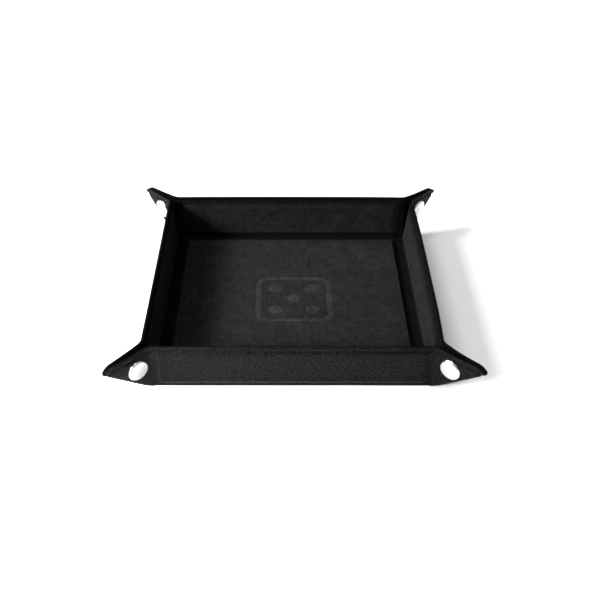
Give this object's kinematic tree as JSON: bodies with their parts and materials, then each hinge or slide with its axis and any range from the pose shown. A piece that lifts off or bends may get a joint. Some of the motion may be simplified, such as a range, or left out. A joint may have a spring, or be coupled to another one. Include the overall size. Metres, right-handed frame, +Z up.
{
  "type": "folding dice tray",
  "caption": "Square tray for rolling dice that folds up from a flat lined sheet; a snap fastener at each corner pinches the sheet into an ear and holds the walls raised.",
  "frame": {"origin": "middle of the underside of the base, on the surface that the tray stands on", "axes": "+Z up out of the open side of the tray, +X to the right wall, +Y to the back wall"},
  "size_m": [0.2356, 0.2356, 0.0365],
  "materials": {
    "cover": "black faux leather with a fine grain, low sheen",
    "lining": "black short-pile velvet",
    "board": "raw grey pressed board, hidden inside",
    "thread": "black sewing thread, slightly shiny, in the row of stitches round the edge",
    "snap": "bright nickel plate"
  },
  "bodies": {
    "base": {"base_cover": "cover", "base_board": "board", "base_lining": "lining"},
    "front_wall": {"front_wall_cover": "cover", "front_wall_board": "board", "front_wall_lining": "lining"},
    "front_wall_left_ear": {"front_wall_left_ear_cover": "cover", "front_wall_left_ear_lining": "lining", "front_wall_left_snap_cap": "snap", "front_wall_left_snap_socket": "snap"},
    "front_wall_right_ear": {"front_wall_right_ear_cover": "cover", "front_wall_right_ear_lining": "lining", "front_wall_right_snap_cap": "snap", "front_wall_right_snap_socket": "snap"},
    "right_wall": {"right_wall_cover": "cover", "right_wall_board": "board", "right_wall_lining": "lining"},
    "right_wall_front_ear": {"right_wall_front_ear_cover": "cover", "right_wall_front_ear_lining": "lining", "right_wall_front_snap_cap": "snap", "right_wall_front_snap_stud": "snap"},
    "right_wall_back_ear": {"right_wall_back_ear_cover": "cover", "right_wall_back_ear_lining": "lining", "right_wall_back_snap_cap": "snap", "right_wall_back_snap_stud": "snap"},
    "back_wall": {"back_wall_cover": "cover", "back_wall_board": "board", "back_wall_lining": "lining"},
    "back_wall_right_ear": {"back_wall_right_ear_cover": "cover", "back_wall_right_ear_lining": "lining", "back_wall_right_snap_cap": "snap", "back_wall_right_snap_socket": "snap"},
    "back_wall_left_ear": {"back_wall_left_ear_cover": "cover", "back_wall_left_ear_lining": "lining", "back_wall_left_snap_cap": "snap", "back_wall_left_snap_socket": "snap"},
    "left_wall": {"left_wall_cover": "cover", "left_wall_board": "board", "left_wall_lining": "lining"},
    "left_wall_back_ear": {"left_wall_back_ear_cover": "cover", "left_wall_back_ear_lining": "lining", "left_wall_back_snap_cap": "snap", "left_wall_back_snap_stud": "snap"},
    "left_wall_front_ear": {"left_wall_front_ear_cover": "cover", "left_wall_front_ear_lining": "lining", "left_wall_front_snap_cap": "snap", "left_wall_front_snap_stud": "snap"}
  },
  "joints": [
    {"name": "front_wall_fold", "type": "hinge", "parent": "base", "child": "front_wall", "pos_m": [0, -0.0922, 0.0019], "axis": [1, 0, 0], "range_deg": [0, 84.2]},
    {"name": "front_wall_left_ear_fold", "type": "hinge", "parent": "front_wall", "child": "front_wall_left_ear", "pos_m": [-0.0922, -0.0922, 0.0019], "axis": [0, 0.1011, -0.9949], "range_deg": [0, 41.05]},
    {"name": "front_wall_right_ear_fold", "type": "hinge", "parent": "front_wall", "child": "front_wall_right_ear", "pos_m": [0.0922, -0.0922, 0.0019], "axis": [0, -0.1011, 0.9949], "range_deg": [0, 41.05]},
    {"name": "right_wall_fold", "type": "hinge", "parent": "base", "child": "right_wall", "pos_m": [0.0922, 0, 0.0019], "axis": [0, 1, 0], "range_deg": [0, 84.2]},
    {"name": "right_wall_front_ear_fold", "type": "hinge", "parent": "right_wall", "child": "right_wall_front_ear", "pos_m": [0.0922, -0.0922, 0.0019], "axis": [-0.1011, 0, -0.9949], "range_deg": [0, 41.05]},
    {"name": "right_wall_back_ear_fold", "type": "hinge", "parent": "right_wall", "child": "right_wall_back_ear", "pos_m": [0.0922, 0.0922, 0.0019], "axis": [0.1011, 0, 0.9949], "range_deg": [0, 41.05]},
    {"name": "back_wall_fold", "type": "hinge", "parent": "base", "child": "back_wall", "pos_m": [0, 0.0922, 0.0019], "axis": [-1, 0, 0], "range_deg": [0, 84.2]},
    {"name": "back_wall_right_ear_fold", "type": "hinge", "parent": "back_wall", "child": "back_wall_right_ear", "pos_m": [0.0922, 0.0922, 0.0019], "axis": [0, -0.1011, -0.9949], "range_deg": [0, 41.05]},
    {"name": "back_wall_left_ear_fold", "type": "hinge", "parent": "back_wall", "child": "back_wall_left_ear", "pos_m": [-0.0922, 0.0922, 0.0019], "axis": [0, 0.1011, 0.9949], "range_deg": [0, 41.05]},
    {"name": "left_wall_fold", "type": "hinge", "parent": "base", "child": "left_wall", "pos_m": [-0.0922, 0, 0.0019], "axis": [0, -1, 0], "range_deg": [0, 84.2]},
    {"name": "left_wall_back_ear_fold", "type": "hinge", "parent": "left_wall", "child": "left_wall_back_ear", "pos_m": [-0.0922, 0.0922, 0.0019], "axis": [0.1011, 0, -0.9949], "range_deg": [0, 41.05]},
    {"name": "left_wall_front_ear_fold", "type": "hinge", "parent": "left_wall", "child": "left_wall_front_ear", "pos_m": [-0.0922, -0.0922, 0.0019], "axis": [-0.1011, 0, 0.9949], "range_deg": [0, 41.05]}
  ],
  "couplings": [
    {"joint": "front_wall_left_ear_fold", "follows": "front_wall_fold", "ratio": 0.4874},
    {"joint": "front_wall_right_ear_fold", "follows": "front_wall_fold", "ratio": 0.4874},
    {"joint": "right_wall_fold", "follows": "front_wall_fold", "ratio": 1},
    {"joint": "right_wall_front_ear_fold", "follows": "front_wall_fold", "ratio": 0.4874},
    {"joint": "right_wall_back_ear_fold", "follows": "front_wall_fold", "ratio": 0.4874},
    {"joint": "back_wall_fold", "follows": "front_wall_fold", "ratio": 1},
    {"joint": "back_wall_right_ear_fold", "follows": "front_wall_fold", "ratio": 0.4874},
    {"joint": "back_wall_left_ear_fold", "follows": "front_wall_fold", "ratio": 0.4874},
    {"joint": "left_wall_fold", "follows": "front_wall_fold", "ratio": 1},
    {"joint": "left_wall_back_ear_fold", "follows": "front_wall_fold", "ratio": 0.4874},
    {"joint": "left_wall_front_ear_fold", "follows": "front_wall_fold", "ratio": 0.4874}
  ]
}
